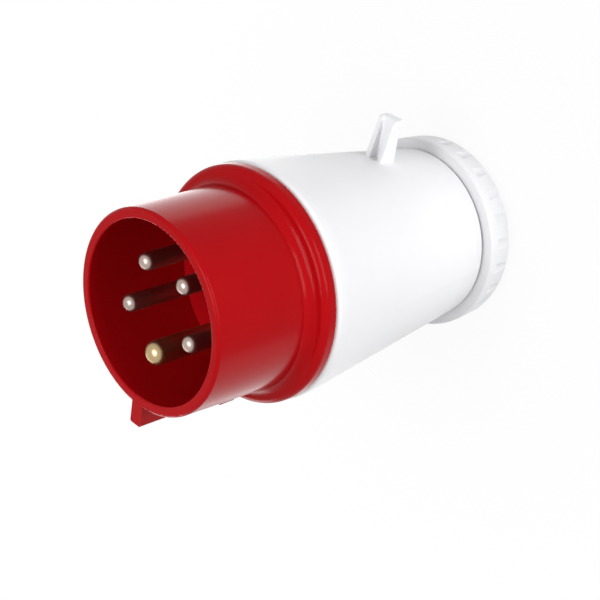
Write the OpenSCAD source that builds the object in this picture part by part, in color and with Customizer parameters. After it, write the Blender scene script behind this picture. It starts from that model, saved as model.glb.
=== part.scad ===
// Five-pin industrial pin and sleeve plug, 16 A, with a gland-nut cable entry.
// The cable comes in at the origin and the contact pins point up, along +Z.
// The key on the sleeve faces -Y, and the catch on the rear housing faces +Y.
// Each piece is drawn where it sits in the assembled plug.

/* [Overall] */
// Length of the whole plug, from the nut's rear face to the sleeve's rim
plug_l = 118; // [112:1:142]
// Outer diameter of the sleeve at its rim
sleeve_d = 57; // [54:0.5:69]
// Length of the sleeve in front of its flange
sleeve_l = 32; // [28:0.5:38.5]

/* [Sleeve] */
// Thickness of the sleeve's wall
sleeve_wall = 3; // [2.4:0.1:3.6]
// How much the sleeve's radius grows from the rim to the flange
sleeve_draft = 0.5; // [0:0.1:1]
// How far the flange stands out from the foot of the sleeve
flange_step = 5; // [4:0.25:7]
// Thickness of the flange
flange_t = 4.5; // [3.5:0.25:6]
// Radius of the hollow corner between sleeve and flange
root_fillet = 3; // [1:0.1:3.5]
// Radius of the flange's front edge
flange_round = 2; // [0.5:0.1:2.2]
// Width of the key
key_w = 4.4; // [3.5:0.1:6]
// Height of the key above the sleeve's rim
key_h = 6; // [3:0.1:7]
// Length of the wide heel where the key meets the flange
heel_l = 4.5; // [3:0.5:8]
// Width of the heel
heel_w = 10; // [7:0.5:14]

/* [Contacts] */
// Diameter of the circle that the pins stand on
pin_pcd = 26.6; // [24:0.2:30]
// Diameter of a phase or neutral pin
pin_d = 5; // [4.5:0.1:6]
// Diameter of the earth pin
earth_d = 7; // [6:0.1:8]
// Diameter of a pin's terminal barrel
barrel_d = 8.4; // [7.6:0.1:9.4]
// Length of a terminal barrel
barrel_l = 18; // [16:0.5:24]
// Diameter of the hole for the wire
wire_d = 4.2; // [3:0.1:5]
// Diameter of a terminal screw's thread
screw_d = 4; // [3:0.1:4.5]
// How far the phase pins stop short of the rim
pin_recess = 3; // [2:0.5:6]
// How far the earth pin reaches past the phase pins
earth_lead = 0.8; // [0:0.1:3]

/* [Carrier] */
// Thickness of the floor that the pins come through
floor_t = 4; // [3:0.25:6]
// How far the floor sits below the flange's front face
floor_drop = 2; // [0:0.5:4]
// Thickness of the carrier's collar
collar_t = 4; // [3:0.25:5]
// Thickness of the plate that holds the pins from behind
retainer_t = 3; // [2:0.25:4]

/* [Rear housing] */
// Wall of the rear housing
housing_wall = 2.6; // [2.2:0.1:3.2]
// How far the housing's shoulder stands out past the flange
shoulder_step = 0.3; // [0:0.1:1]
// Diameter of the housing where it meets the nut
housing_tail_d = 53; // [50:0.5:56]
// Length of the skirt that plugs into the housing
skirt_l = 12; // [10:0.5:15]
// Wall of that skirt
skirt_wall = 3; // [2.6:0.1:3.4]
// Height of the catch above the housing
catch_h = 13; // [8:0.5:16]
// Width of the catch
catch_w = 6; // [5:0.2:9]
// Length of the catch along the housing
catch_l = 7; // [6:0.5:10]
// Distance from the nut's rear face to the back of the catch
catch_z = 32.5; // [24:0.5:42]

/* [Cable gland] */
// Outer diameter of the gland nut
nut_d = 59; // [56:0.5:62]
// Length of the gland nut
nut_l = 11; // [10:0.5:14]
// Thickness of the nut's end wall
nut_end_t = 3; // [2:0.25:4]
// Outer diameter of the threaded spigot under the nut
spigot_d = 48; // [46:0.5:50]
// Wall of the spigot
spigot_wall = 4; // [3.4:0.1:5]
// Diameter of the cable hole through the rubber grommet
cable_d = 13; // [9:0.5:16]
// Diameter of the hole in the nut's end wall
entry_d = 22; // [18:0.5:24]
// Height of the thread that the nut turns on
thread_h = 0.8; // [0.5:0.1:1]
// Number of grip flutes round the nut
flute_n = 24; // [12:1:36]
// Depth of a flute
flute_depth = 0.4; // [0.3:0.1:1.2]

/* [Clearances] */
// Radial play of pieces that slide together
slide_gap = 0.3; // [0.2:0.05:0.4]
// Play between faces that stop short of each other
face_gap = 0.2; // [0.1:0.05:0.4]
// Radial play of a pin in the carrier
pin_gap = 0.1; // [0.05:0.05:0.2]

/* [Hidden] */
$fn = 96;
eps = 0.01;

RED = [0.72, 0.03, 0.06];
WHITE = [0.90, 0.90, 0.91];
BRASS = [0.78, 0.66, 0.42];
NICKEL = [0.75, 0.72, 0.66];
STEEL = [0.60, 0.61, 0.63];
RUBBER = [0.13, 0.13, 0.14];
BLACK = [0.10, 0.10, 0.11];

// Heights up the axis, from the rim down
rim_z = plug_l;
flange_top = rim_z - sleeve_l;
flange_low = flange_top - flange_t;
floor_top = flange_top - floor_drop;
floor_low = floor_top - floor_t;
collar_low = floor_low - collar_t;
skirt_low = flange_low - skirt_l;

// Radii of the front piece
rim_r = sleeve_d / 2;
foot_r = rim_r + sleeve_draft;
bore_r = rim_r - sleeve_wall;
flange_r = foot_r + flange_step;
skirt_r = foot_r + 2;
skirt_bore = skirt_r - skirt_wall;
heel_r = flange_r + 1.4;
rim_round = 0.9;
back_round = 0.5;

// Bayonet between the front piece and the rear housing
LUGS = 3;
lug_angle = 18;
lug_twist = 24;
lug_h = 1.2;
lug_t = 3;
lug_low = skirt_low + 1.5;
lug_first = 40;

// Seal groove in the skirt
seal_d = 1.6;
groove_d = seal_d + 0.2;
groove_low = flange_low - 1.2 - groove_d;

// Snap hooks that hold the carrier in the skirt
hook_angle = 24;
hook_reach = 0.9;
hook_t = 2.4;

// Contacts
pitch_r = pin_pcd / 2;
barrel_r = barrel_d / 2;
earth_barrel_r = barrel_r + 0.5;
root_step = 0.3;
root_top = floor_top + 0.6;
barrel_top = floor_low;
barrel_low = barrel_top - barrel_l;
hub_r = pitch_r + earth_barrel_r + 2.2;
hub_low = barrel_low - face_gap;
retainer_low = hub_low - retainer_t;
screw_z = barrel_low + 6;
screw_head_r = screw_d / 2 + 0.6;
screw_head_t = 2;
wire_depth = 11;
core_r = 3;
core_at = pitch_r + 2;
core_roof = 1.5;
PHASES = ["l1", "l2", "l3", "neutral"];

// Rear housing
shoulder_r = flange_r + shoulder_step;
mouth_r = skirt_r + slide_gap;
tail_r = housing_tail_d / 2;
tail_z = nut_l + 0.5;
spigot_r = spigot_d / 2;
spigot_bore = spigot_r - spigot_wall;
spigot_low = nut_end_t + 1.5;
seat_z = 16;
throat_t = 3;
throat_r = cable_d / 2 + 6;
shoulder_round = 2;
mouth_low = skirt_low - 0.6;

// Gland
entry_r = entry_d / 2;
nut_r = nut_d / 2;
nut_taper = 0.4;
nut_round = 4;
thread_r = spigot_r + thread_h + slide_gap;
ring_low = nut_end_t + face_gap;
ring_t = 1.8;
ring_top = ring_low + ring_t;
grommet_low = ring_top + face_gap;
grommet_top = seat_z - face_gap;
collet_wall = 4.3;
collet_r = spigot_bore - slide_gap;
grommet_r = collet_r - collet_wall - face_gap;
FINGERS = 8;
finger_slot = 2;
collar_h = 2.8;

// Angle round the axis of contact i: 0 to 3 are the phases and neutral, 4 is earth
function contact_angle(i) = -90 + 72 * (i + 1);

// Places its children on the pitch circle, turned to face outwards
module at_contact(i)
    rotate([0, 0, contact_angle(i)]) translate([pitch_r, 0, 0]) children();

// Cutter that rounds the upper right corner of a profile at [x, y]
module round_corner(x, y, r)
    translate([x - r, y - r]) difference() {
        square(r + 1);
        circle(r);
    }

// Cutter that rounds the lower right corner of a profile at [x, y]
module round_low_corner(x, y, r)
    translate([x - r, y + r]) mirror([0, 1]) difference() {
        square(r + 1);
        circle(r);
    }

// Ring of rectangular section between two radii and two heights
module band(r0, r1, z0, z1, angle = 360)
    rotate_extrude(angle = angle) translate([r0, z0]) square([r1 - r0, z1 - z0]);

// ---------- Front piece ----------

// Half section of the sleeve, flange and skirt
module sleeve_profile() {
    difference() {
        union() {
            polygon([[bore_r, floor_low], [skirt_r, floor_low], [skirt_r, flange_top],
                     [foot_r, flange_top], [rim_r, rim_z - rim_round - 0.2], [rim_r, rim_z],
                     [bore_r, rim_z]]);
            translate([bore_r, flange_low]) square([flange_r - bore_r, flange_t]);
            translate([skirt_bore, skirt_low]) square([skirt_wall, flange_low - skirt_low + eps]);
            translate([foot_r, flange_top]) difference() {
                square(root_fillet);
                translate([root_fillet, root_fillet]) circle(root_fillet);
            }
        }
        round_corner(rim_r, rim_z, rim_round);
        translate([2 * bore_r, 0]) mirror([1, 0]) round_corner(bore_r, rim_z, rim_round / 2);
        round_corner(flange_r, flange_top, flange_round);
        round_low_corner(flange_r, flange_low, back_round);
        translate([skirt_r - groove_d / 2 - seal_d / 2, groove_low]) square([seal_d + 1, groove_d]);
    }
}

// Rib along the sleeve that fits the keyway of a socket, with its heel
module key() {
    reach = rim_r + key_h;
    corner = 0.7;
    translate([0, 0, flange_top - eps]) linear_extrude(sleeve_l + eps) difference() {
        translate([-key_w / 2, -reach]) square([key_w, reach - bore_r - 1]);
        translate([key_w / 2, 0]) mirror([0, 1]) round_corner(0, reach, corner);
        mirror([1, 0]) translate([key_w / 2, 0]) mirror([0, 1]) round_corner(0, reach, corner);
    }
    translate([0, 0, flange_top - eps]) linear_extrude(heel_l + eps) difference() {
        translate([-heel_w / 2, -heel_r]) square([heel_w, heel_r - bore_r - 1]);
        for (side = [0, 1]) mirror([side, 0])
            translate([heel_w / 2, 0]) mirror([0, 1]) round_corner(0, heel_r, 2);
    }
}

module front_sleeve() {
    color(RED) union() {
        rotate_extrude() sleeve_profile();
        key();
        for (i = [0 : LUGS - 1]) rotate([0, 0, lug_first + 120 * i])
            band(skirt_r - 1, skirt_r + lug_h, lug_low, lug_low + lug_t, lug_angle);
        for (i = [0 : LUGS - 1]) rotate([0, 0, 120 * i])
            rotate_extrude(angle = hook_angle)
                polygon([[skirt_bore + 1, collar_low - face_gap],
                         [skirt_bore - hook_reach, collar_low - face_gap],
                         [skirt_bore, collar_low - face_gap - hook_t],
                         [skirt_bore + 1, collar_low - face_gap - hook_t]]);
    }
}

// ---------- Contact insert ----------

module contact_carrier() {
    color(RED) difference() {
        union() {
            band(0, bore_r - face_gap, floor_low - eps, floor_top);
            band(0, skirt_bore - face_gap, collar_low, floor_low);
            band(0, hub_r, hub_low, collar_low + eps);
        }
        for (i = [0 : 4]) at_contact(i) {
            shaft_r = (i < 4 ? pin_d : earth_d) / 2;
            bar_r = i < 4 ? barrel_r : earth_barrel_r;
            cylinder(r = shaft_r + root_step + pin_gap, h = floor_top + 1);
            translate([0, 0, hub_low - 1]) cylinder(r = bar_r + pin_gap, h = barrel_top - hub_low + 1);
            translate([0, 0, screw_z]) rotate([0, 90, 0])
                cylinder(r = screw_head_r + slide_gap, h = hub_r);
        }
        for (i = [0 : 4]) rotate([0, 0, contact_angle(i) + 36]) translate([core_at, 0, hub_low - 1])
            cylinder(r = core_r, h = floor_low - core_roof - hub_low + 1);
        translate([0, 0, hub_low - 1]) cylinder(r = 1.25, h = 13);
    }
}

// Turned pin with its terminal barrel, standing on its own axis
module contact_pin(shaft_r, bar_r, tip_z) {
    tip_round = shaft_r * 0.84;
    difference() {
        rotate_extrude() difference() {
            union() {
                translate([0, barrel_low]) square([bar_r, barrel_l]);
                translate([0, barrel_top - eps]) square([shaft_r + root_step, root_top - barrel_top + eps]);
                translate([0, root_top - eps]) square([shaft_r, tip_z - root_top + eps]);
            }
            round_corner(shaft_r, tip_z, tip_round);
            round_low_corner(bar_r, barrel_low, 0.4);
        }
        translate([0, 0, barrel_low - 1]) cylinder(d = wire_d, h = wire_depth + 1);
        translate([0, 0, screw_z]) rotate([0, 90, 0]) cylinder(d = screw_d, h = bar_r + 1);
    }
}

module phase_pin(i)
    color(NICKEL) at_contact(i) contact_pin(pin_d / 2, barrel_r, rim_z - pin_recess);

module pin_l1() phase_pin(0);
module pin_l2() phase_pin(1);
module pin_l3() phase_pin(2);
module pin_neutral() phase_pin(3);

module pin_earth()
    color(BRASS) at_contact(4)
        contact_pin(earth_d / 2, earth_barrel_r, rim_z - pin_recess + earth_lead);

// Slotted screw that clamps the wire, lying across contact i's barrel
module terminal_screw(i) {
    bar_r = i < 4 ? barrel_r : earth_barrel_r;
    head_at = bar_r + face_gap;
    color(STEEL) at_contact(i) translate([0, 0, screw_z]) rotate([0, 90, 0]) difference() {
        union() {
            translate([0, 0, wire_d / 2]) cylinder(d = screw_d - 0.06, h = head_at - wire_d / 2 + eps);
            translate([0, 0, head_at]) cylinder(r = screw_head_r, h = screw_head_t);
        }
        translate([-0.4, -screw_head_r - 1, head_at + screw_head_t - 1])
            cube([0.8, 2 * screw_head_r + 2, 2]);
    }
}

module terminal_screw_l1() terminal_screw(0);
module terminal_screw_l2() terminal_screw(1);
module terminal_screw_l3() terminal_screw(2);
module terminal_screw_neutral() terminal_screw(3);
module terminal_screw_earth() terminal_screw(4);

// Plate that closes the barrels' sockets from behind
module pin_retainer() {
    color(BLACK) difference() {
        band(0, hub_r, retainer_low, hub_low);
        for (i = [0 : 4]) at_contact(i) translate([0, 0, retainer_low - 1])
            cylinder(d1 = wire_d + 2.6, d2 = wire_d + 1, h = retainer_t + 2);
        translate([0, 0, retainer_low - 1]) cylinder(r = 1.6, h = retainer_t + 2);
    }
}

module retainer_screw() {
    head_r = 3.1;
    head_t = 2;
    color(STEEL) difference() {
        union() {
            translate([0, 0, retainer_low - head_t]) cylinder(r = head_r, h = head_t);
            translate([0, 0, retainer_low - eps]) cylinder(r = 1.2, h = retainer_t + 10);
        }
        for (turn = [0, 90]) rotate([0, 0, turn])
            translate([-2, -0.4, retainer_low - head_t - 1]) cube([4, 0.8, 2]);
    }
}

// ---------- Rear housing ----------

module housing_seal() {
    color(BLACK) rotate_extrude()
        translate([skirt_r - seal_d / 2 + 0.15, groove_low + groove_d / 2]) circle(d = seal_d);
}

// Half section of the housing: a tapered shell that ends in the nut's spigot
module housing_profile() {
    difference() {
        polygon([[0, tail_z], [tail_r, tail_z], [tail_r, tail_z + 1.2], [shoulder_r, flange_low - 4],
                 [shoulder_r, flange_low], [0, flange_low]]);
        round_corner(shoulder_r, flange_low, shoulder_round);
        round_low_corner(tail_r, tail_z, 1);
        polygon([[0, seat_z + throat_t], [tail_r - housing_wall - 1.2, seat_z + throat_t],
                 [mouth_r - 1, mouth_low], [0, mouth_low]]);
        translate([0, mouth_low]) square([mouth_r, flange_low - mouth_low + 1]);
        square([throat_r, seat_z + throat_t + 1]);
        square([spigot_bore, seat_z]);
    }
    translate([spigot_bore, spigot_low]) square([spigot_wall, tail_z - spigot_low + 1]);
}

// Paths that the front piece's lugs follow: straight in, then round
module bayonet_slots() {
    play = 0.25;
    slot_r = skirt_r + lug_h + play;
    for (i = [0 : LUGS - 1]) rotate([0, 0, lug_first + 120 * i - 1]) {
        band(mouth_r - 1, slot_r, lug_low - play, lug_low + lug_t + play, lug_angle + lug_twist + 2);
        rotate([0, 0, lug_twist])
            band(mouth_r - 1.5, slot_r + 0.1, lug_low + play, flange_low + 1, lug_angle + 1.5);
    }
}

// Moulded catch: two cheeks and a sloping web, with a small lip on top
module housing_catch() {
    cheek = 1.3;
    low_r = tail_r - 1;
    top_r = tail_r + (shoulder_r - tail_r) * (catch_z - tail_z) / (flange_low - tail_z) + catch_h;
    top_l = 3;
    lip = 0.7;
    module cheek_plate() rotate([90, 0, 90]) linear_extrude(cheek, center = true)
        polygon([[low_r, catch_z], [top_r - 2, catch_z], [top_r - 1.4, catch_z - lip],
                 [top_r, catch_z - lip], [top_r, catch_z + top_l - 0.6],
                 [top_r - 0.6, catch_z + top_l], [low_r, catch_z + catch_l]]);
    for (x = [-1, 1]) translate([x * (catch_w - cheek) / 2, 0, 0]) cheek_plate();
    rotate([90, 0, 90]) linear_extrude(catch_w - cheek, center = true)
        polygon([[low_r, catch_z], [top_r - 2, catch_z], [top_r - 1.4, catch_z - lip],
                 [top_r, catch_z - lip], [top_r, catch_z + top_l - 1], [top_r - 1, catch_z + top_l - 0.7],
                 [low_r, catch_z + catch_l - 4.6]]);
}

module rear_housing() {
    color(WHITE) difference() {
        union() {
            rotate_extrude() housing_profile();
            housing_catch();
        }
        bayonet_slots();
    }
}

// ---------- Cable gland ----------

module cable_grommet() {
    color(RUBBER) rotate_extrude() difference() {
        union() {
            translate([cable_d / 2, 0]) square([entry_r - slide_gap - cable_d / 2, grommet_low + eps]);
            translate([cable_d / 2, grommet_low])
                square([grommet_r - cable_d / 2, grommet_top - grommet_low]);
        }
        round_corner(grommet_r, grommet_top, 1.5);
    }
}

// Plastic cage whose fingers close on the grommet
module clamp_collet() {
    color(WHITE) difference() {
        rotate_extrude() polygon([[grommet_r + face_gap, grommet_low], [collet_r - 1.5, grommet_low],
                                  [collet_r, grommet_low + 4], [collet_r, grommet_top],
                                  [grommet_r + face_gap, grommet_top]]);
        for (i = [0 : FINGERS / 2 - 1]) rotate([0, 0, 180 / FINGERS * 2 * i])
            translate([-collet_r - 1, -finger_slot / 2, grommet_low - 1])
                cube([2 * collet_r + 2, finger_slot, grommet_top - collar_h - grommet_low + 1]);
    }
}

module thrust_ring()
    color(STEEL) band(entry_r + slide_gap, collet_r, ring_low, ring_top);

module gland_nut() {
    flute_r = 2.4;
    color(WHITE) difference() {
        rotate_extrude() difference() {
            polygon([[entry_r, 0], [nut_r - nut_taper, 0], [nut_r - nut_taper, nut_round + 0.2],
                     [nut_r, nut_l - 2], [nut_r, nut_l], [entry_r, nut_l]]);
            round_low_corner(nut_r - nut_taper, 0, nut_round);
            round_corner(nut_r, nut_l, 0.6);
            translate([0, nut_end_t]) square([thread_r, nut_l]);
        }
        for (i = [0 : flute_n - 1]) rotate([0, 0, 360 / flute_n * i])
            translate([nut_r - nut_taper - flute_depth + flute_r, 0, -1]) cylinder(r = flute_r, h = nut_l - 2);
    }
}

front_sleeve();
contact_carrier();
pin_l1();
pin_l2();
pin_l3();
pin_neutral();
pin_earth();
terminal_screw_l1();
terminal_screw_l2();
terminal_screw_l3();
terminal_screw_neutral();
terminal_screw_earth();
pin_retainer();
retainer_screw();
housing_seal();
rear_housing();
cable_grommet();
clamp_collet();
thrust_ring();
gland_nut();
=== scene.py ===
# %% [markdown]
# # An industrial pin and sleeve plug
# The part is a five-pin mains plug of the kind used on building sites and stages. A red sleeve
# with a keyed rib guards five metal pins, a pale housing covers the terminals, and a gland nut
# closes on the cable at the back. The exact solids of every rigid piece are already there, so this
# script gives them their finishes, adds the fine forms that solids leave out, and sets up a studio.

import math

import bpy
import numpy as np
from mathutils import Matrix, Vector


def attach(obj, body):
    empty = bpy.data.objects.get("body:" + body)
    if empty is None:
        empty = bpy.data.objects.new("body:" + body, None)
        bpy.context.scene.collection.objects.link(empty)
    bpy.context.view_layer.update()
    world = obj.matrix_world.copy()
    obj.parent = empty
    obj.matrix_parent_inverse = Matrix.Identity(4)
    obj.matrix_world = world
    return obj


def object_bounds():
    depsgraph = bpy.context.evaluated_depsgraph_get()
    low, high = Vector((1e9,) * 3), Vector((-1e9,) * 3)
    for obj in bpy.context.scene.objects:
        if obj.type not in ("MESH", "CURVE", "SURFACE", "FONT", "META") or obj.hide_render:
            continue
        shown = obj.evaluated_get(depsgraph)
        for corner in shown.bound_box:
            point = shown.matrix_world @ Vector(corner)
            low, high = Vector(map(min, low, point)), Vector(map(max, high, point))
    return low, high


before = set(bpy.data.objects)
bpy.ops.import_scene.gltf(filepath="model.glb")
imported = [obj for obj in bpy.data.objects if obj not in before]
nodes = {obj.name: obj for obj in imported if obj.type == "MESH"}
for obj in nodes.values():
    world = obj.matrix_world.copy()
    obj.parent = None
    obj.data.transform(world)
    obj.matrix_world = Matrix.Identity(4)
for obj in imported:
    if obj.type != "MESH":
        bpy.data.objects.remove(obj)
cad_low, cad_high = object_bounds()
MM_PER_M = 1000


def in_mm(values, digits=1):
    """Lengths in metres as rounded millimetres, for printing."""
    return [round(MM_PER_M * value, digits) for value in values]


print("solids:", len(nodes), "box in mm:", in_mm((*cad_low, *cad_high)))

# %% [markdown]
# ## The camera
# A fairly long lens keeps the sleeve and the nut nearly in proportion, as a catalogue does. The
# camera is placed by what it looks at, how far away it is, and two angles, and is then rolled about
# its own axis. Writing it this way, and not as a matrix, makes each number easy to change.

# %% Camera
LOOK_AT = Vector((0.0054, -0.0070, 0.0657))
DISTANCE = 0.4143
TURN = math.radians(37.8)
HEIGHT = math.radians(41.3)
ROLL = math.radians(107.9)
LENS_MM = 87.0


def direction(turn, height):
    """A unit vector at an angle round the vertical axis and an angle above the floor."""
    return Vector((math.cos(turn) * math.cos(height), math.sin(turn) * math.cos(height), math.sin(height)))


away = direction(TURN, HEIGHT)
camera_data = bpy.data.cameras.new("studio_camera")
camera_data.lens = LENS_MM
camera_data.sensor_width = 36.0
camera_data.clip_start, camera_data.clip_end = 0.01, 20.0
camera = bpy.data.objects.new("studio_camera", camera_data)
camera.location = LOOK_AT + away * DISTANCE
level = (-away).to_track_quat("-Z", "Y")
camera.rotation_mode = "QUATERNION"
camera.rotation_quaternion = Matrix.Rotation(ROLL, 3, -away).to_quaternion() @ level
bpy.context.scene.collection.objects.link(camera)
bpy.context.scene.camera = camera
bpy.context.view_layer.update()
view_matrix = camera.rotation_quaternion.to_matrix()
for side, name in enumerate(("right", "up")):
    print("camera", name, [round(v, 3) for v in view_matrix.col[side]])

# %% [markdown]
# ## Floor and light
# The floor is a small round sheet of white paper that fades into the white of the room, so it
# takes the plug's soft shadow and has no edge. The camera looks down on upright walls, and what
# such a wall mirrors lies lower than the wall itself, at the same slope as the camera looks down.
# So the two long soft boxes that draw bands of light along the sleeve hang low, beyond the paper,
# a box in front and one high up light the faces evenly, and a weaker one fills the back.

# %% Nodes for a material
def node_maker(material):
    """Returns the material's node tree and a function that adds a node and sets its inputs."""
    tree = material.node_tree

    def add(kind, **inputs):
        made = tree.nodes.new(kind)
        for key, value in inputs.items():
            name = key.replace("_", " ")
            if name in made.inputs:
                made.inputs[name].default_value = value
            else:
                setattr(made, key, value)
        return made

    return tree, add


def blank_material(name):
    """A material whose tree holds only what is added to it."""
    material = bpy.data.materials.new(name)
    material.use_nodes = True
    material.node_tree.nodes.clear()
    return material


def white_share(tree, add, whole):
    """A number that is whole for rays from the camera, a mirror or glass, and zero for the rest."""
    path = add("ShaderNodeLightPath")
    first = add("ShaderNodeMath", operation="MAXIMUM")
    both = add("ShaderNodeMath", operation="MAXIMUM")
    share = add("ShaderNodeMath", operation="MULTIPLY")
    share.inputs[1].default_value = whole
    tree.links.new(path.outputs["Is Camera Ray"], first.inputs[0])
    tree.links.new(path.outputs["Is Glossy Ray"], first.inputs[1])
    tree.links.new(first.outputs[0], both.inputs[0])
    tree.links.new(path.outputs["Is Transmission Ray"], both.inputs[1])
    tree.links.new(both.outputs[0], share.inputs[0])
    return share.outputs[0]


# %% Floor
FLOOR_GAP = 0.0002
SHEET_WHITE = 0.92  # how much of the sheet is plain white to look at; the rest takes the shadow
GONE_AT = 0.95  # the share of the sheet's radius at which it is wholly clear


def make_floor(radius=0.14, centre=0.004, fade_from=0.04, rings=24, spokes=96):
    """A disc just below the plug.

    The rings lie at even steps from the radius centre out to the whole radius, and spoke j of m lies
    at the angle 2 pi j / m. One face closes the middle. From fade_from outwards the sheet fades away.
    """
    reach = np.linspace(centre, radius, rings)[:, None]
    angle = np.linspace(0, 2 * np.pi, spokes, endpoint=False)[None, :]
    level = np.full((rings, spokes), cad_low.z - FLOOR_GAP)
    points = np.stack([reach * np.cos(angle), reach * np.sin(angle), level], axis=-1).reshape(-1, 3)
    ring, spoke = np.meshgrid(np.arange(rings - 1), np.arange(spokes), indexing="ij")
    after = (spoke + 1) % spokes
    quads = np.stack([ring * spokes + spoke, (ring + 1) * spokes + spoke,
                      (ring + 1) * spokes + after, ring * spokes + after], axis=-1).reshape(-1, 4)
    mesh = bpy.data.meshes.new("studio_floor")
    mesh.from_pydata(points.tolist(), [], quads.tolist() + [list(range(spokes))])
    floor = bpy.data.objects.new("studio_floor", mesh)
    bpy.context.scene.collection.objects.link(floor)
    paper = blank_material("studio_paper")
    tree, add = node_maker(paper)
    join = tree.links.new
    matt = add("ShaderNodeBsdfDiffuse", Color=(0.85, 0.85, 0.86, 1))
    glow = add("ShaderNodeEmission", Color=(1, 1, 1, 1), Strength=1.0)
    seen = add("ShaderNodeMixShader")
    place = add("ShaderNodeTexCoord")
    far = add("ShaderNodeVectorMath", operation="LENGTH")
    fade = add("ShaderNodeMapRange", interpolation_type="SMOOTHSTEP")
    fade.inputs["From Min"].default_value = fade_from
    fade.inputs["From Max"].default_value = radius * GONE_AT
    clear = add("ShaderNodeBsdfTransparent")
    whole = add("ShaderNodeMixShader")
    out = add("ShaderNodeOutputMaterial")
    join(white_share(tree, add, SHEET_WHITE), seen.inputs[0])
    join(matt.outputs[0], seen.inputs[1])
    join(glow.outputs[0], seen.inputs[2])
    join(place.outputs["Object"], far.inputs[0])
    join(far.outputs["Value"], fade.inputs[0])
    join(fade.outputs[0], whole.inputs[0])
    join(seen.outputs[0], whole.inputs[1])
    join(clear.outputs[0], whole.inputs[2])
    join(whole.outputs[0], out.inputs[0])
    floor.data.materials.append(paper)
    return floor


floor = make_floor()
print("floor of", len(floor.data.polygons), "faces")

# %% The white room
def make_room(light_level):
    """A world that is white to look at, and lights the plug evenly at light_level."""
    world = bpy.data.worlds.new("studio_air")
    world.use_nodes = True
    tree, add = node_maker(world)
    tree.nodes.clear()
    join = tree.links.new
    lit = add("ShaderNodeBackground", Color=(1, 1, 1, 1), Strength=light_level)
    white = add("ShaderNodeBackground", Color=(1, 1, 1, 1), Strength=1.0)
    mix = add("ShaderNodeMixShader")
    out = add("ShaderNodeOutputWorld")
    join(white_share(tree, add, 1.0), mix.inputs[0])
    join(lit.outputs[0], mix.inputs[1])
    join(white.outputs[0], mix.inputs[2])
    join(mix.outputs[0], out.inputs[0])
    bpy.context.scene.world = world
    return world


room = make_room(light_level=0.28)
bpy.context.scene.view_settings.view_transform = "Standard"
print("room light", room.name)

# %% Soft boxes
def soft_box(name, turn, height, distance, width, tall, watts):
    """A rectangular lamp that faces the plug. Its two angles are in degrees, and its sizes in metres."""
    turn, height = math.radians(turn), math.radians(height)
    outward = direction(turn, height)
    data = bpy.data.lights.new(name, "AREA")
    data.shape = "RECTANGLE"
    data.size, data.size_y = width, tall
    data.energy = watts
    lamp = bpy.data.objects.new(name, data)
    side = Vector((-math.sin(turn), math.cos(turn), 0))
    upward = outward.cross(side)
    place = Matrix((side, upward, outward)).transposed().to_4x4()
    place.translation = LOOK_AT + outward * distance
    lamp.matrix_world = place
    lamp.visible_camera = False
    bpy.context.scene.collection.objects.link(lamp)
    print(name, "at", [round(v, 2) for v in place.translation])
    return lamp


soft_box("catch_side_box", turn=165, height=-42, distance=0.75, width=0.85, tall=0.35, watts=1.7)
soft_box("key_side_box", turn=-75, height=-42, distance=0.75, width=0.95, tall=0.40, watts=1.1)
soft_box("front_box", turn=32, height=-6, distance=0.8, width=0.6, tall=0.4, watts=4.9)
soft_box("high_box", turn=60, height=78, distance=0.8, width=0.4, tall=0.4, watts=4.4)
soft_box("back_box", turn=235, height=6, distance=0.8, width=0.6, tall=0.4, watts=2.8)

# %% [markdown]
# ## Moulded plastic
# The sleeve, the insert and the housing are injection moulded. A polished mould leaves an even
# gloss, and the plastic still shows three faint things: slow changes of tone where it flowed,
# a fine skin of pits, and patches that shine a little less. An image could carry them, but it would
# need a seam somewhere on a round piece. A noise pattern has none, so each of the three is one
# noise, measured in millimetres on the piece itself, and it stays on the piece when that moves.
# The red mirrors far less than real plastic does, because the white room would wash it out to pink.

# %% Plastic
MIX_DARK, MIX_LIGHT, MIX_COLOUR = 6, 7, 2  # where a colour Mix node keeps its inputs and its output
SHINIER, DULLER = 0.05, 0.06  # how far the plastic's roughness strays to either side


def moulded_plastic(name, light, dark, roughness, pit_mm=0.5, pit_depth_mm=0.004, flow_mm=16.0,
                    mirror=0.5):
    """Plastic between two tones, with slow flow marks, a fine pitted skin and an uneven gloss.

    At a mirror of 0.5 it mirrors about 4 per cent of the light head on, as most plastics do.
    """
    material = blank_material(name)
    tree, add = node_maker(material)
    join = tree.links.new
    place = add("ShaderNodeTexCoord")
    flow = add("ShaderNodeTexNoise", Scale=MM_PER_M / flow_mm, Detail=3.0, Roughness=0.5, Distortion=0.6)
    tone = add("ShaderNodeMix", data_type="RGBA")
    pits = add("ShaderNodeTexNoise", Scale=MM_PER_M / pit_mm, Detail=2.0, Roughness=0.6)
    bump = add("ShaderNodeBump", Strength=1.0, Distance=pit_depth_mm / MM_PER_M)
    shine = add("ShaderNodeTexNoise", Scale=MM_PER_M / (flow_mm / 3), Detail=4.0, Roughness=0.6)
    gloss = add("ShaderNodeMapRange")
    gloss.inputs["To Min"].default_value = roughness - SHINIER
    gloss.inputs["To Max"].default_value = roughness + DULLER
    skin = add("ShaderNodeBsdfPrincipled", Metallic=0.0)
    skin.inputs["Specular IOR Level"].default_value = mirror
    out = add("ShaderNodeOutputMaterial")
    for pattern in (flow, pits, shine):
        join(place.outputs["Object"], pattern.inputs["Vector"])
    tone.inputs[MIX_DARK].default_value = (*dark, 1)
    tone.inputs[MIX_LIGHT].default_value = (*light, 1)
    join(flow.outputs[0], tone.inputs[0])
    join(tone.outputs[MIX_COLOUR], skin.inputs["Base Color"])
    join(shine.outputs[0], gloss.inputs[0])
    join(gloss.outputs[0], skin.inputs["Roughness"])
    join(pits.outputs[0], bump.inputs["Height"])
    join(bump.outputs[0], skin.inputs["Normal"])
    join(skin.outputs[0], out.inputs[0])
    return material


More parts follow.
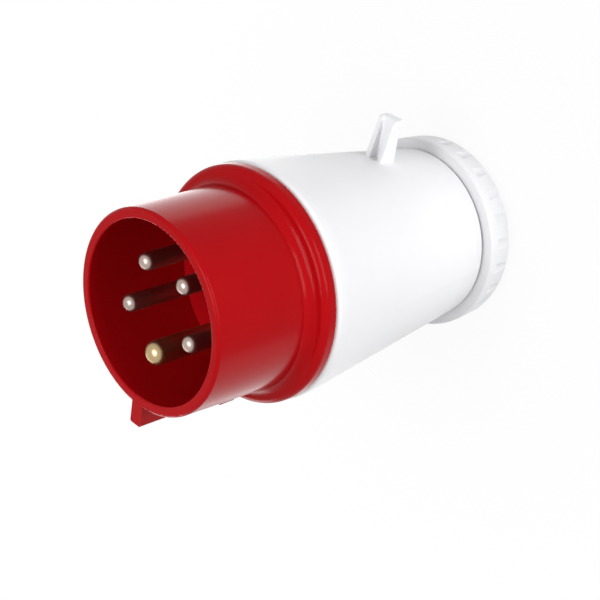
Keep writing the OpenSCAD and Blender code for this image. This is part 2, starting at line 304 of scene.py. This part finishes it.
red_plastic = moulded_plastic("red_plastic", (0.43, 0.003, 0.006), (0.38, 0.002, 0.004), 0.19, mirror=0.06)
red_insert = moulded_plastic("red_insert", (0.40, 0.003, 0.006), (0.35, 0.002, 0.004), 0.30, mirror=0.12)
pale_plastic = moulded_plastic("pale_plastic", (0.86, 0.86, 0.875), (0.83, 0.832, 0.85), 0.34, mirror=0.35)
black_plastic = moulded_plastic("black_plastic", (0.030, 0.030, 0.032), (0.020, 0.020, 0.022), 0.42)
black_rubber = moulded_plastic("black_rubber", (0.028, 0.028, 0.030), (0.018, 0.018, 0.020), 0.72,
                               pit_mm=0.8, pit_depth_mm=0.02)
plastics = (red_plastic, red_insert, pale_plastic, black_plastic, black_rubber)
print("plastics:", [plastic.name for plastic in plastics])

# %% [markdown]
# ## Turned metal
# The pins are turned from brass rod, and all but the earth pin are plated with nickel. The tool
# leaves rings on them, a fraction of a millimetre apart and less than a micrometre deep. Cut into
# the mesh they would cost more faces than the whole plug has, so a wave pattern gives them as a
# bump, in bands that are stacked up the pin and bent slightly by noise. A second noise is the
# tarnish, which changes the tone and the gloss. The pins' metals are darker than clean nickel and
# brass, because the small domed tips mirror the white room and would turn as white as it is.

# %% Metal
BANDS = 3.2  # how many bands the Wave node lays in a length of one over its scale
TARNISH_MM = 6.25  # the size of a patch of tarnish
BRIGHTER, MATTER = 0.06, 0.08  # how far the metal's roughness strays to either side


def turned_metal(name, light, dark, roughness, ring_mm=0.35, ring_depth_mm=0.0008):
    """Metal between two tones, with fine rings round the vertical axis and patches of tarnish."""
    material = blank_material(name)
    tree, add = node_maker(material)
    join = tree.links.new
    place = add("ShaderNodeTexCoord")
    rings = add("ShaderNodeTexWave", wave_type="BANDS", bands_direction="Z",
                Scale=MM_PER_M / (ring_mm * BANDS), Distortion=1.5, Detail=3.0)
    tarnish = add("ShaderNodeTexNoise", Scale=MM_PER_M / TARNISH_MM, Detail=4.0, Roughness=0.6)
    tone = add("ShaderNodeMix", data_type="RGBA")
    bump = add("ShaderNodeBump", Strength=1.0, Distance=ring_depth_mm / MM_PER_M)
    gloss = add("ShaderNodeMapRange")
    gloss.inputs["To Min"].default_value = roughness - BRIGHTER
    gloss.inputs["To Max"].default_value = roughness + MATTER
    skin = add("ShaderNodeBsdfPrincipled", Metallic=1.0)
    out = add("ShaderNodeOutputMaterial")
    for pattern in (rings, tarnish):
        join(place.outputs["Object"], pattern.inputs["Vector"])
    tone.inputs[MIX_DARK].default_value = (*dark, 1)
    tone.inputs[MIX_LIGHT].default_value = (*light, 1)
    join(tarnish.outputs[0], tone.inputs[0])
    join(tone.outputs[MIX_COLOUR], skin.inputs["Base Color"])
    join(tarnish.outputs[0], gloss.inputs[0])
    join(gloss.outputs[0], skin.inputs["Roughness"])
    join(rings.outputs["Fac"], bump.inputs["Height"])
    join(bump.outputs[0], skin.inputs["Normal"])
    join(skin.outputs[0], out.inputs[0])
    return material


nickel = turned_metal("nickel_pin", (0.44, 0.35, 0.31), (0.36, 0.285, 0.25), 0.30)
brass = turned_metal("brass_pin", (0.50, 0.38, 0.21), (0.42, 0.31, 0.165), 0.30)
zinc = turned_metal("zinc_screw", (0.70, 0.71, 0.72), (0.58, 0.59, 0.61), 0.32, ring_mm=0.4)
steel = turned_metal("steel_ring", (0.62, 0.62, 0.63), (0.52, 0.52, 0.54), 0.30, ring_mm=0.5)
print("metals:", nickel.name, brass.name, zinc.name, steel.name)

# %% [markdown]
# ## Which piece wears which finish
# A solid keeps its mesh and only its finish is changed. The list goes from the finish to the
# pieces that have it, because that is how a parts list for a moulder or a plater is written.

# %% Finishes on the solids
FINISHES = {
    red_plastic: ["front_sleeve"],
    red_insert: ["contact_carrier"],
    pale_plastic: ["rear_housing", "gland_nut", "clamp_collet"],
    nickel: ["pin_l1", "pin_l2", "pin_l3", "pin_neutral"],
    brass: ["pin_earth"],
    zinc: ["terminal_screw_l1", "terminal_screw_l2", "terminal_screw_l3", "terminal_screw_neutral",
           "terminal_screw_earth", "retainer_screw"],
    black_plastic: ["pin_retainer"],
    black_rubber: ["housing_seal", "cable_grommet"],
    steel: ["thrust_ring"],
}
for finish, names in FINISHES.items():
    for name in names:
        mesh = nodes[name].data
        mesh.materials.clear()
        mesh.materials.append(finish)
done = sorted(name for names in FINISHES.values() for name in names)
print("finished", len(done), "of", len(nodes), "solids; missing:", sorted(set(nodes) - set(done)))

# %% [markdown]
# ## Threads
# A thread is one ridge wound round a cylinder. The spigot of the rear housing carries one ridge on
# its outside, and the nut carries its partner on its inside, half a pitch further on, so that
# the two lie side by side. Both are right-hand threads with the same pitch that couples the nut's
# turn to its travel, so they still lie side by side when the nut is turned. A Screw modifier could
# wind the section up, but its ends would be cut off square. A formula lets each end run out into
# the wall, as a moulded thread's does, and the walls themselves are measured on the solids.

# %% Thread ridges
PITCH = 0.003
DEPTH, SUNK = 0.0008, 0.0001  # how far a ridge stands out of its wall, and how far its foot is inside
RUN_IN = 0.5  # the angle over which a ridge grows at each end, in radians
FIRST_GROWTH = 0.06  # the share of its height that a ridge has at its very end, inside the wall
SHOULDER = 0.88  # the share of the height at which the crest's chamfer starts
WIDER, NARROWER = 0.0001, 0.0002  # how far the width is over tip at the shoulder, and under it at the crest


def thread_ridge(name, body, foot, crest, low, high, shift, base=0.0018, tip=0.0007, per_turn=120):
    """A ridge wound round the vertical axis, between two heights.

    At the angle a its middle lies at the height pitch a / 2 pi + shift. Its section is a trapezium,
    as wide as base at its foot and as wide as tip at the crest, with small chamfers. Towards each
    end the section sinks into the wall, by a smooth step of the angle, and ends there in a flat cap.
    """
    first, last = (2 * np.pi * (height - shift) / PITCH for height in (low, high))
    count = int(per_turn * (last - first) / (2 * np.pi)) + 1
    angle = np.linspace(first, last, count)[:, None]
    grow = np.clip(np.minimum(angle - first, last - angle) / RUN_IN, 0.0, 1.0)
    grow = FIRST_GROWTH + (1 - FIRST_GROWTH) * grow * grow * (3 - 2 * grow)
    out = np.array([0.0, SHOULDER, 1.0, 1.0, SHOULDER, 0.0])[None, :]
    width = np.array([tip - NARROWER, tip + WIDER, base])
    along = np.concatenate([-width[::-1], width])[None, :] / 2
    radius = foot + (crest - foot) * out * grow
    height = PITCH * angle / (2 * np.pi) + shift + along
    points = np.stack([radius * np.cos(angle), radius * np.sin(angle), height], axis=-1).reshape(-1, 3)
    sides = out.shape[1]
    row, side = np.meshgrid(np.arange(count - 1), np.arange(sides), indexing="ij")
    after = (side + 1) % sides
    quads = np.stack([row * sides + side, (row + 1) * sides + side,
                      (row + 1) * sides + after, row * sides + after], axis=-1).reshape(-1, 4)
    caps = [list(range(sides)), [(count - 1) * sides + i for i in reversed(range(sides))]]
    if crest < foot:
        quads, caps = quads[:, ::-1], [cap[::-1] for cap in caps]
    mesh = bpy.data.meshes.new(name)
    mesh.from_pydata(points.tolist(), [], quads.tolist() + caps)
    mesh.materials.append(pale_plastic)
    ridge = bpy.data.objects.new(name, mesh)
    bpy.context.scene.collection.objects.link(ridge)
    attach(ridge, body)
    return ridge


# %% A ridge on the spigot and one in the nut
def corner_radii(node, low, high):
    """How far a solid's corners lie from the vertical axis, for those between two heights."""
    mesh = nodes[node].data
    corners = np.empty(3 * len(mesh.vertices), dtype=np.float32)
    mesh.vertices.foreach_get("co", corners)
    x, y, z = corners.reshape(-1, 3).T
    near = (z > low) & (z < high)
    return np.hypot(x[near], y[near])


# The heights leave out the shell above the spigot, and the hole in the nut's end wall.
spigot_r = float(corner_radii("rear_housing", low=0.0, high=0.010).max())
bore_r = float(corner_radii("gland_nut", low=0.004, high=0.020).min())
print("thread walls in mm:", in_mm((spigot_r, bore_r)))
spigot_thread = thread_ridge("spigot_thread", "plug", foot=spigot_r - SUNK, crest=spigot_r + DEPTH,
                             low=0.0056, high=0.0112, shift=0.0)
nut_thread = thread_ridge("nut_thread", "nut", foot=bore_r + SUNK, crest=bore_r - DEPTH,
                          low=0.0042, high=0.0098, shift=PITCH / 2)
for ridge in (spigot_thread, nut_thread):
    print(ridge.name, len(ridge.data.vertices), "points,", len(ridge.data.polygons), "faces")
